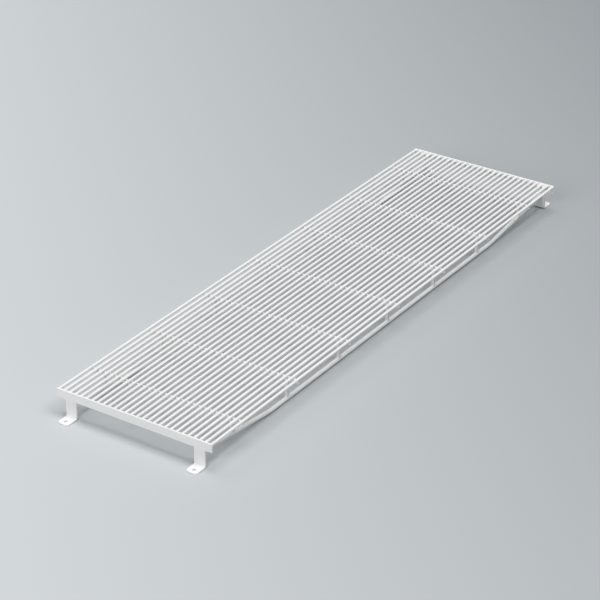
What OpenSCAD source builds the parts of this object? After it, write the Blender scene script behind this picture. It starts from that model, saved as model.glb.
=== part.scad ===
// Low slatted work platform: a deck of round rods between two flat end plates,
// carried by cross bars, trussed along both long sides by posts and a tie rod,
// and bolted down through four bent flat feet.
// Frame: X along the rods, Y across them, Z up; the floor is Z = 0.

/* [Deck] */
// Length of the deck over the outer faces of both end plates
deck_l = 1800; // [1600:10:2000]
// Width of the deck over the outer faces of both outer rods
deck_w = 500; // [440:5:560]
// Height of the deck's upper side above the floor
deck_top = 83; // [78:1:100]
// Number of deck rods, one node each
rod_count = 28; // [22:1:32]
// Diameter of a deck rod
rod_d = 8; // [6:0.5:9]
// Height of an end plate
plate_h = 25; // [20:1:30]
// Thickness of an end plate
plate_t = 5; // [4:0.5:8]

/* [Cross bars and side trusses] */
// Distance between neighbouring cross bars
bar_pitch = 251; // [230:1:255]
// Height of a cross bar, which stands on its edge
bar_h = 12; // [10:1:20]
// Thickness of a cross bar
bar_t = 4; // [3:0.5:10]
// Distance of a truss from the outer side of the deck
truss_inset = 42; // [34:1:48]
// Side of a square truss post
post_w = 8; // [6:0.5:12]
// Diameter of a tie rod
tie_d = 12; // [8:0.5:14]
// Gap between the floor and the level run of a tie rod
tie_lift = 1.5; // [1:0.5:6]
// Length of the level run of a tie rod, between its two bends
tie_level_l = 1160; // [1100:10:1300]
// Height of a tie rod's axis where it meets a foot
tie_end_z = 44; // [40:1:50]

/* [Feet] */
// Width of the flat bar that a foot is bent from
foot_w = 35; // [30:1:45]
// Thickness of that flat bar
foot_t = 5; // [4:0.5:6]
// Reach of the base flange beyond the upright's outer face
flange_l = 39; // [36:1:45]
// Inside radius of the bend
bend_r = 4; // [2:0.5:6]
// Radius of the flange's two outer corners
corner_r = 9; // [4:0.5:12]
// Diameter of the fixing hole
hole_d = 11; // [8:0.5:12]
// Distance of the hole's axis from the upright's outer face
hole_x = 25; // [22:0.5:26]

/* [Hidden] */
$fn = 48;
bar_count = 7;
rod_z = deck_top - rod_d / 2;
rod_l = deck_l - 2 * plate_t;
rod_span = deck_w - rod_d;
rod_pitch = rod_span / (rod_count - 1);
bar_top = deck_top - rod_d;
bar_bottom = bar_top - bar_h;
truss_y = deck_w / 2 - truss_inset;
tie_z = tie_lift + tie_d / 2;
foot_x = deck_l / 2 - plate_t;
tie_end_x = foot_x - foot_t;
tie_bend_x = tie_level_l / 2;
tie_rise = atan2(tie_end_z - tie_z, tie_end_x - tie_bend_x);
white = [0.93, 0.93, 0.92];

function two(n) = str(n < 10 ? "0" : "", n);
function rod_name(i) = str("rod_", two(i));
function bar_name(i) = str("cross_bar_", i);
function post_name(side, i) = str("post_", side, "_", i);
function bar_x(i) = (i - (bar_count + 1) / 2) * bar_pitch;

// Height of the tie rod's axis at a distance x from the middle of the deck
function tie_height(x) = abs(x) <= tie_bend_x ? tie_z
    : tie_z + (abs(x) - tie_bend_x) * tan(tie_rise);

SIDES = ["left", "right"];
ENDS = ["near", "far"];

// +1 for the left side and the far end, -1 for the right side and the near end
function side_sign(side) = side == "left" ? 1 : -1;
function end_sign(end) = end == "far" ? 1 : -1;

// A round bar of diameter d from p to q, both in an XZ plane
module round_bar(p, q, d) {
    run = q - p;
    translate(p)
        rotate([0, atan2(run[0], run[2]), 0])
            cylinder(d = d, h = norm(run));
}

module rod(i) {
    color(white)
        translate([-rod_l / 2, rod_span / 2 - (i - 1) * rod_pitch, rod_z])
            rotate([0, 90, 0])
                cylinder(d = rod_d, h = rod_l);
}

module end_plate(end) {
    x = end_sign(end) * (deck_l - plate_t) / 2;
    color(white)
        translate([x - plate_t / 2, -deck_w / 2, deck_top - plate_h])
            cube([plate_t, deck_w, plate_h]);
}

module cross_bar(i) {
    color(white)
        translate([bar_x(i) - bar_t / 2, -rod_span / 2, bar_bottom])
            cube([bar_t, rod_span, bar_h]);
}

// A tie rod is one bar: a level length, and a rising length to each foot. A ball a hair
// wider than the bar rounds each bend.
module tie_rod_body() {
    bend = [tie_bend_x, 0, tie_z];
    past_foot = [tie_end_x + tie_d, 0, tie_height(tie_end_x + tie_d)];
    difference() {
        union() {
            round_bar([-bend[0], 0, bend[2]], bend, tie_d);
            for (m = [0, 1]) mirror([m, 0, 0]) {
                round_bar(bend, past_foot, tie_d);
                translate(bend) sphere(d = tie_d + 0.1);
            }
        }
        for (m = [0, 1]) mirror([m, 0, 0])
            translate([tie_end_x, -tie_d, 0]) cube([2 * tie_d, 2 * tie_d, deck_top]);
    }
}

module tie_rod(side) {
    color(white)
        translate([0, side_sign(side) * truss_y, 0])
            tie_rod_body();
}

// A post reaches from the cross bar down to the tie rod, and is cut to sit on it
module post(side, i) {
    x = bar_x(i);
    low = tie_height(x);
    before = [x - tie_d, 0, tie_height(x - tie_d)];
    after = [x + tie_d, 0, tie_height(x + tie_d)];
    color(white)
        translate([0, side_sign(side) * truss_y, 0])
            difference() {
                translate([x - post_w / 2, -post_w / 2, low])
                    cube([post_w, post_w, bar_bottom - low]);
                round_bar(before, after, tie_d);
            }
}

// Outline of a foot in the XZ plane: an upright and a flange joined by a round bend
module foot_outline() {
    outer_r = bend_r + foot_t;
    translate([-foot_t, outer_r]) square([foot_t, bar_top - outer_r]);
    translate([bend_r, 0]) square([flange_l - bend_r, foot_t]);
    translate([bend_r, outer_r])
        intersection() {
            difference() {
                circle(r = outer_r);
                circle(r = bend_r);
            }
            translate([-outer_r, -outer_r]) square(outer_r);
        }
}

// The flange seen from above, with two round outer corners
module flange_outline() {
    translate([-foot_t, -foot_w / 2]) square([foot_t + flange_l - corner_r, foot_w]);
    translate([0, -foot_w / 2 + corner_r]) square([flange_l, foot_w - 2 * corner_r]);
    for (y = [-1, 1])
        translate([flange_l - corner_r, y * (foot_w / 2 - corner_r)])
            circle(r = corner_r);
}

module foot(end, side) {
    color(white)
        translate([end_sign(end) * foot_x, side_sign(side) * truss_y, 0])
            mirror([end == "far" ? 0 : 1, 0, 0])
                difference() {
                    intersection() {
                        translate([0, foot_w / 2, 0])
                            rotate([90, 0, 0])
                                linear_extrude(height = foot_w)
                                    foot_outline();
                        linear_extrude(height = deck_top) flange_outline();
                    }
                    translate([hole_x, 0, -1])
                        cylinder(d = hole_d, h = foot_t + 2);
                }
}

for (i = [1:rod_count])
    rod(i);
for (e = ENDS)
    end_plate(e);
for (i = [1:bar_count])
    cross_bar(i);
for (s = SIDES, i = [1:bar_count])
    post(s, i);
for (s = SIDES)
    tie_rod(s);
for (e = ENDS, s = SIDES)
    foot(e, s);
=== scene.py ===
import math

import bmesh
import bpy
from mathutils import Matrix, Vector, noise


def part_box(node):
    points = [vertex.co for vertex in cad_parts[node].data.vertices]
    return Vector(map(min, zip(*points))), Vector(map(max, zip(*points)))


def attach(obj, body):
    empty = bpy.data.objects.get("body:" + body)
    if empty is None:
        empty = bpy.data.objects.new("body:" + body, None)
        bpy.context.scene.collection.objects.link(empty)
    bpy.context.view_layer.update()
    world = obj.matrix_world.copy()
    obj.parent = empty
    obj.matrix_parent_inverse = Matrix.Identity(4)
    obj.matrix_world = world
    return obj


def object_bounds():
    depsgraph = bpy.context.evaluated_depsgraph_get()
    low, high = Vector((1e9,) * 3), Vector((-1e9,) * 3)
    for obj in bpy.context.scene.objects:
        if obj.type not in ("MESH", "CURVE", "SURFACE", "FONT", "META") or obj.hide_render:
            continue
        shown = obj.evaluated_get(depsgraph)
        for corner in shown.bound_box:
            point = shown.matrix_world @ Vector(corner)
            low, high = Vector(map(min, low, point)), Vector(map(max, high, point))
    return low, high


MM = 0.001
SIDES = ("left", "right")
ENDS = ("near", "far")

# Camera: it stands off the near end's right-hand side and looks down along the deck
VIEW_YAW = 33.956
VIEW_PITCH = 28.581
VIEW_DISTANCE = 6.395
AIM_SHIFT = Vector((-0.146, -0.010, 0.0))
LENS = 137.0
SENSOR = 36.0

# Coat
WHITE = (0.82, 0.82, 0.817)
COATS = {
    "rod_coat": {"colour": WHITE, "roughness": 0.40},
    "plate_coat": {"colour": WHITE, "roughness": 0.44},
    "truss_coat": {"colour": WHITE, "roughness": 0.42},
    "foot_coat": {"colour": WHITE, "roughness": 0.44},
}
PEEL_SIZE = 2.4 * MM
PEEL_DEPTH = 0.05 * MM
GRAIN_SIZE = 0.35 * MM
GRAIN_DEPTH = 0.006 * MM
PATCH_SIZE = 70 * MM
PATCH_DARK = 0.975
PATCH_LIGHT = 1.02
GLOSS_SIZE = 12 * MM
GLOSS_DOWN = 0.04
GLOSS_UP = 0.05

# Edges
PLATE_EDGE = 0.6 * MM
FOOT_EDGE = 0.8 * MM
BAR_EDGE = 0.5 * MM
SAME_POINT = 0.001 * MM
SHARP_ANGLE = math.radians(35)

# Weld beads
BEAD_SIDES = 8
BEAD_STEP = 0.6 * MM
RIPPLE_PITCH = 1.6 * MM
RIPPLE_DEPTH = 0.09
LUMP_DEPTH = 0.15
LUMPS_PER_METRE = 400
TIP_AREA = 0.02
ROD_BEAD = 1.0 * MM
CROSSING_BEAD = 0.6 * MM
POST_BEAD = 1.1 * MM
TIE_BEAD = 1.5 * MM
FOOT_BEAD = 1.4 * MM
FLUSH_ANGLE = math.radians(50)
CROSSING_REACH = 0.78

# Stage: painted light and shade on the floor. Its colour runs from pale (painted light) to deep
# (painted shade) over FLOOR_FADE, and FLOOR_TILT turns it from the camera's right towards the far side
FLOOR_SIZE = 200.0
FLOOR_PAINTED_LIGHT = (0.585, 0.612, 0.622)
FLOOR_PAINTED_SHADE = (0.262, 0.286, 0.298)
FLOOR_FADE = 3.4
FLOOR_TILT = 0.21
WORLD_COLOUR = (0.97, 0.99, 1.0)
WORLD_LIGHT = 0.05
LIGHT_SPREAD = math.radians(28)
SOFT_LIGHTS = {
    "near": {"azimuth": 0, "elevation": 25, "level": 0.45},
    "right": {"azimuth": -90, "elevation": 60, "level": 0.50},
    "left": {"azimuth": 90, "elevation": 50, "level": 0.15},
    "overhead": {"azimuth": 0, "elevation": 88, "level": 0.45},
}


def make_camera(centre):
    """A long lens on the deck, from a height that looks down on it."""
    yaw = math.radians(VIEW_YAW)
    pitch = math.radians(VIEW_PITCH)
    level = Vector((math.cos(yaw), math.sin(yaw), 0))
    forward = level * math.cos(pitch) - Vector((0, 0, math.sin(pitch)))
    data = bpy.data.cameras.new("camera")
    data.lens = LENS
    data.sensor_width = SENSOR
    data.clip_end = FLOOR_SIZE
    camera = bpy.data.objects.new("camera", data)
    camera.location = centre + AIM_SHIFT - forward * VIEW_DISTANCE
    camera.rotation_euler = forward.to_track_quat("-Z", "Y").to_euler()
    bpy.context.scene.collection.objects.link(camera)
    bpy.context.scene.camera = camera
    return level


def add_node(tree, kind, **inputs):
    """A shader node with some of its inputs set; an underscore in a name stands for a space."""
    node = tree.nodes.new(kind)
    for name, value in inputs.items():
        node.inputs[name.replace("_", " ")].default_value = value
    return node


def powder_coat(name, colour, roughness):
    """Satin powder coat: a fine orange peel, a finer grain, and slow changes of tone and gloss."""
    material = bpy.data.materials.new(name)
    material.use_nodes = True
    tree = material.node_tree
    link = tree.links.new
    shader = tree.nodes["Principled BSDF"]
    shader.inputs["Specular IOR Level"].default_value = 0.5
    where = tree.nodes.new("ShaderNodeTexCoord").outputs["Object"]

    patch = add_node(tree, "ShaderNodeTexNoise", Scale=1 / PATCH_SIZE, Detail=3.0)
    tone = tree.nodes.new("ShaderNodeMix")
    tone.data_type = "RGBA"
    tone.inputs["A"].default_value = (*[c * PATCH_DARK for c in colour], 1)
    tone.inputs["B"].default_value = (*[min(1, c * PATCH_LIGHT) for c in colour], 1)
    link(where, patch.inputs["Vector"])
    link(patch.outputs["Fac"], tone.inputs["Factor"])
    link(tone.outputs["Result"], shader.inputs["Base Color"])

    gloss = add_node(tree, "ShaderNodeTexNoise", Scale=1 / GLOSS_SIZE, Detail=2.0)
    spread = add_node(tree, "ShaderNodeMapRange", From_Min=0.3, From_Max=0.7,
                      To_Min=roughness - GLOSS_DOWN, To_Max=roughness + GLOSS_UP)
    link(where, gloss.inputs["Vector"])
    link(gloss.outputs["Fac"], spread.inputs["Value"])
    link(spread.outputs["Result"], shader.inputs["Roughness"])

    peel = add_node(tree, "ShaderNodeTexNoise", Scale=1 / PEEL_SIZE, Detail=1.0)
    grain = add_node(tree, "ShaderNodeTexNoise", Scale=1 / GRAIN_SIZE, Detail=0.0)
    waves = add_node(tree, "ShaderNodeBump", Strength=1.0, Distance=PEEL_DEPTH)
    tooth = add_node(tree, "ShaderNodeBump", Strength=1.0, Distance=GRAIN_DEPTH)
    link(where, peel.inputs["Vector"])
    link(where, grain.inputs["Vector"])
    link(peel.outputs["Fac"], waves.inputs["Height"])
    link(grain.outputs["Fac"], tooth.inputs["Height"])
    link(waves.outputs["Normal"], tooth.inputs["Normal"])
    link(tooth.outputs["Normal"], shader.inputs["Normal"])
    return material


def soften_edges(node, width):
    """Rounds the edges of a CAD node by modifiers, which leave its own mesh as it is."""
    weld = node.modifiers.new("weld", "WELD")
    weld.merge_threshold = SAME_POINT
    bevel = node.modifiers.new("edges", "BEVEL")
    bevel.width = width
    bevel.segments = 3
    bevel.limit_method = "ANGLE"
    bevel.angle_limit = SHARP_ANGLE
    normals = node.modifiers.new("normals", "WEIGHTED_NORMAL")
    normals.keep_sharp = False


def add_bead(mesh, path, radius, closed):
    """Sweeps a rippled bead along a path into mesh. An open bead tapers to a point at its ends."""
    count = len(path)
    travelled = [0.0]
    for a, b in zip(path, path[1:]):
        travelled.append(travelled[-1] + (b - a).length)
    rings = []
    across = None
    for i, point in enumerate(path):
        before = path[i - 1] if closed or i > 0 else point
        after = path[(i + 1) % count] if closed or i < count - 1 else point
        tangent = (after - before).normalized()
        if across is None:
            across = tangent.orthogonal().normalized()
        across = (across - tangent * across.dot(tangent)).normalized()
        other = tangent.cross(across)
        ripple = 1 + RIPPLE_DEPTH * math.sin(math.tau * travelled[i] / RIPPLE_PITCH)
        lump = 1 + LUMP_DEPTH * noise.noise(point * LUMPS_PER_METRE)
        size = radius * ripple * lump
        if not closed:
            from_end = min(travelled[i], travelled[-1] - travelled[i]) / radius
            size *= math.sqrt(max(TIP_AREA, 1 - max(0, 1 - from_end) ** 2))
        ring = []
        for k in range(BEAD_SIDES):
            angle = math.tau * k / BEAD_SIDES
            offset = across * math.cos(angle) + other * math.sin(angle)
            ring.append(mesh.verts.new(point + offset * size))
        rings.append(ring)
    pairs = list(zip(rings, rings[1:]))
    if closed:
        pairs.append((rings[-1], rings[0]))
    for ring, following in pairs:
        for k in range(BEAD_SIDES):
            j = (k + 1) % BEAD_SIDES
            mesh.faces.new((ring[k], ring[j], following[j], following[k]))
    if not closed:
        mesh.faces.new(list(reversed(rings[0])))
        mesh.faces.new(rings[-1])


def weld_piece(name, beads, coat):
    """One piece from a list of (path, radius, closed) beads, on the body and with a slot's finish."""
    mesh = bmesh.new()
    for path, radius, closed in beads:
        add_bead(mesh, path, radius, closed)
    bmesh.ops.recalc_face_normals(mesh, faces=mesh.faces)
    for face in mesh.faces:
        face.smooth = True
    data = bpy.data.meshes.new(name)
    mesh.to_mesh(data)
    mesh.free()
    data.materials.append(coat)
    piece = bpy.data.objects.new(name, data)
    bpy.context.scene.collection.objects.link(piece)
    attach(piece, "root")
    return piece


def line_path(start, end):
    """Points from start to end, a bead step apart."""
    steps = max(2, round((end - start).length / BEAD_STEP))
    return [start.lerp(end, i / steps) for i in range(steps + 1)]


def arc_path(centre, radius, start, sweep):
    """Points on an arc about the X axis through centre, from the angle start, which is 0 at the top."""
    steps = round(radius * abs(sweep) / BEAD_STEP)
    full = abs(sweep) >= math.tau - 0.001
    angles = [start + sweep * i / steps for i in range(steps if full else steps + 1)]
    return [centre + Vector((0, math.sin(t), math.cos(t))) * radius for t in angles]


def rod_end_beads(plate):
    """A bead around each rod where it meets an end plate, left flush along the rod's top."""
    low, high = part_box(f"end_plate_{plate}")
    face_x = high.x if plate == "near" else low.x
    beads = []
    for name in rod_names:
        rod_low, rod_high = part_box(name)
        centre = (rod_low + rod_high) / 2
        centre.x = face_x
        radius = (rod_high.z - rod_low.z) / 2
        sweep = math.tau - 2 * FLUSH_ANGLE
        beads.append((arc_path(centre, radius, FLUSH_ANGLE, sweep), ROD_BEAD, False))
    return beads


def crossing_beads(bar):
    """A short bead on each side of every rod where it lies on a cross bar."""
    low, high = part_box(bar)
    beads = []
    for name in rod_names:
        rod_low, rod_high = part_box(name)
        radius = (rod_high.z - rod_low.z) / 2
        middle = (rod_low.y + rod_high.y) / 2
        for side in (-1, 1):
            y = middle + side * radius * CROSSING_REACH
            if low.y < y < high.y:
                start = Vector((low.x, y, high.z + CROSSING_BEAD * 0.5))
                end = Vector((high.x, y, high.z + CROSSING_BEAD * 0.5))
                beads.append((line_path(start, end), CROSSING_BEAD, False))
    return beads


def square_loop(low, high):
    """Points around a rectangle in plan, as (x, y) pairs, a bead step apart."""
    corners = [(low.x, low.y), (high.x, low.y), (high.x, high.y), (low.x, high.y)]
    points = []
    for i, corner in enumerate(corners):
        start = Vector((*corner, 0))
        end = Vector((*corners[(i + 1) % 4], 0))
        points += line_path(start, end)[:-1]
    return [(p.x, p.y) for p in points]


def post_beads(side):
    """A bead around each post where it meets its cross bar, and one where it sits on the tie rod."""
    tie_low, tie_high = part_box(f"tie_rod_{side}")
    tie_y = (tie_low.y + tie_high.y) / 2
    radius = (tie_high.y - tie_low.y) / 2
    boxes = [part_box(name) for name in post_names[side]]
    level = min(low.z for low, high in boxes)
    beads = []
    for low, high in boxes:
        half = (high.y - low.y) / 2
        saddle = math.sqrt(radius ** 2 - half ** 2)
        inner_x = min(abs(low.x), abs(high.x))
        slope = 0.0
        if low.z - level > MM:
            slope = (tie_high.z - radius - low.z + saddle) / (tie_high.x - inner_x)
        foot, head = [], []
        for x, y in square_loop(low, high):
            rise = math.sqrt(radius ** 2 - (y - tie_y) ** 2) - saddle
            foot.append(Vector((x, y, low.z + rise + slope * (abs(x) - inner_x))))
            head.append(Vector((x, y, high.z)))
        beads += [(foot, POST_BEAD, True), (head, POST_BEAD, True)]
    return beads


def tie_end_beads(side):
    """A bead around each end of a tie rod, on the inner face of its foot."""
    low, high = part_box(f"tie_rod_{side}")
    radius = (high.y - low.y) / 2
    beads = []
    for x in (low.x, high.x):
        centre = Vector((x, (low.y + high.y) / 2, high.z - radius))
        beads.append((arc_path(centre, radius, 0, math.tau), TIE_BEAD, True))
    return beads


def foot_beads(end, side):
    """A bead up each edge of a foot's upright, where it is welded to the end plate's inner face."""
    low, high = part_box(f"foot_{end}_{side}")
    plate_low, plate_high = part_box(f"end_plate_{end}")
    x = plate_high.x if end == "near" else plate_low.x
    beads = []
    for y in (low.y, high.y):
        start = Vector((x, y, plate_low.z + FOOT_BEAD))
        end_point = Vector((x, y, high.z - FOOT_BEAD))
        beads.append((line_path(start, end_point), FOOT_BEAD, False))
    return beads


def make_floor(level):
    """A pale floor whose colour deepens from the camera's left to its right: a painted falloff of
    light, pale where painted lit and deep where painted shade.
    """
    right = Vector((level.y, -level.x, 0))
    data = bpy.data.meshes.new("floor")
    half = FLOOR_SIZE / 2
    corners = [(-half, -half, 0), (half, -half, 0), (half, half, 0), (-half, half, 0)]
    data.from_pydata(corners, [], [(0, 1, 2, 3)])
    floor = bpy.data.objects.new("floor", data)
    bpy.context.scene.collection.objects.link(floor)

    material = bpy.data.materials.new("floor")
    material.use_nodes = True
    tree = material.node_tree
    link = tree.links.new
    shader = tree.nodes["Principled BSDF"]
    shader.inputs["Roughness"].default_value = 0.9
    shader.inputs["Specular IOR Level"].default_value = 0.1
    place = tree.nodes.new("ShaderNodeNewGeometry").outputs["Position"]
    along = tree.nodes.new("ShaderNodeVectorMath")
    along.operation = "DOT_PRODUCT"
    along.inputs[1].default_value = right + level * FLOOR_TILT
    span = add_node(tree, "ShaderNodeMapRange", From_Min=-FLOOR_FADE / 2, From_Max=FLOOR_FADE / 2)
    # Painted light and shade: the floor's colour is pale on the camera's left and deep on its right, a
    # painted falloff of light.
    tone = tree.nodes.new("ShaderNodeMix")
    tone.data_type = "RGBA"
    tone.inputs["A"].default_value = (*FLOOR_PAINTED_LIGHT, 1)
    tone.inputs["B"].default_value = (*FLOOR_PAINTED_SHADE, 1)
    link(place, along.inputs[0])
    link(along.outputs["Value"], span.inputs["Value"])
    link(span.outputs["Result"], tone.inputs["Factor"])
    link(tone.outputs["Result"], shader.inputs["Base Color"])
    data.materials.append(material)


def soft_light(name, azimuth, elevation, level):
    """A wide, far-off studio light. Azimuth 0 is the near end and 90 the left side. Level is the light
    that it throws on a surface facing it, as a share of full white."""
    turn = math.radians(azimuth)
    climb = math.radians(elevation)
    away = Vector((-math.cos(turn), math.sin(turn), 0)) * math.cos(climb)
    away.z = math.sin(climb)
    data = bpy.data.lights.new(name, "SUN")
    data.energy = level * math.pi
    data.angle = LIGHT_SPREAD
    light = bpy.data.objects.new(name, data)
    light.location = away
    light.rotation_euler = (-away).to_track_quat("-Z", "Y").to_euler()
    bpy.context.scene.collection.objects.link(light)


def make_light():
    """A weak even surround, and the studio's soft lights."""
    world = bpy.data.worlds.new("studio")
    world.use_nodes = True
    background = world.node_tree.nodes["Background"]
    background.inputs["Color"].default_value = (*WORLD_COLOUR, 1)
    background.inputs["Strength"].default_value = WORLD_LIGHT
    bpy.context.scene.world = world
    for name, aim in SOFT_LIGHTS.items():
        soft_light(name, **aim)


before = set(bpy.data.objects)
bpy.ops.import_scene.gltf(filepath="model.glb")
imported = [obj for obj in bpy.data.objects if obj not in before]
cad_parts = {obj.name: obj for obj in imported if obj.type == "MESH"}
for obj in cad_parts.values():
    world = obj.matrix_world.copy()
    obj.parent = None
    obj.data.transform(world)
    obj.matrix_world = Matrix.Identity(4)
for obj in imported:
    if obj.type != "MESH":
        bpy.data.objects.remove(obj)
cad_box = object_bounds()
centre = (cad_box[0] + cad_box[1]) / 2
centre.z = cad_box[1].z
rod_names = sorted(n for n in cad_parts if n.startswith("rod_"))
bar_names = sorted(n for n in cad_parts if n.startswith("cross_bar_"))
post_names = {s: sorted(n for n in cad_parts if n.startswith(f"post_{s}_")) for s in SIDES}

camera_level = make_camera(centre)
bpy.context.scene.view_settings.view_transform = "Standard"

coats = {slot: powder_coat(slot, **looks) for slot, looks in COATS.items()}
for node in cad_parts.values():
    for holder in node.material_slots:
        holder.material = coats[holder.material.name.split(".")[0]]
for name in bar_names + post_names["left"] + post_names["right"]:
    soften_edges(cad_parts[name], BAR_EDGE)
for end in ENDS:
    soften_edges(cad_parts[f"end_plate_{end}"], PLATE_EDGE)
    for side in SIDES:
        soften_edges(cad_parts[f"foot_{end}_{side}"], FOOT_EDGE)

for bar in bar_names:
    weld_piece(f"welds_{bar}", crossing_beads(bar), coats["plate_coat"])
for end in ENDS:
    weld_piece(f"welds_rods_{end}", rod_end_beads(end), coats["rod_coat"])
    for side in SIDES:
        beads = foot_beads(end, side)
        weld_piece(f"welds_foot_{end}_{side}", beads, coats["foot_coat"])
for side in SIDES:
    beads = post_beads(side) + tie_end_beads(side)
    weld_piece(f"welds_truss_{side}", beads, coats["truss_coat"])

make_floor(camera_level)
make_light()
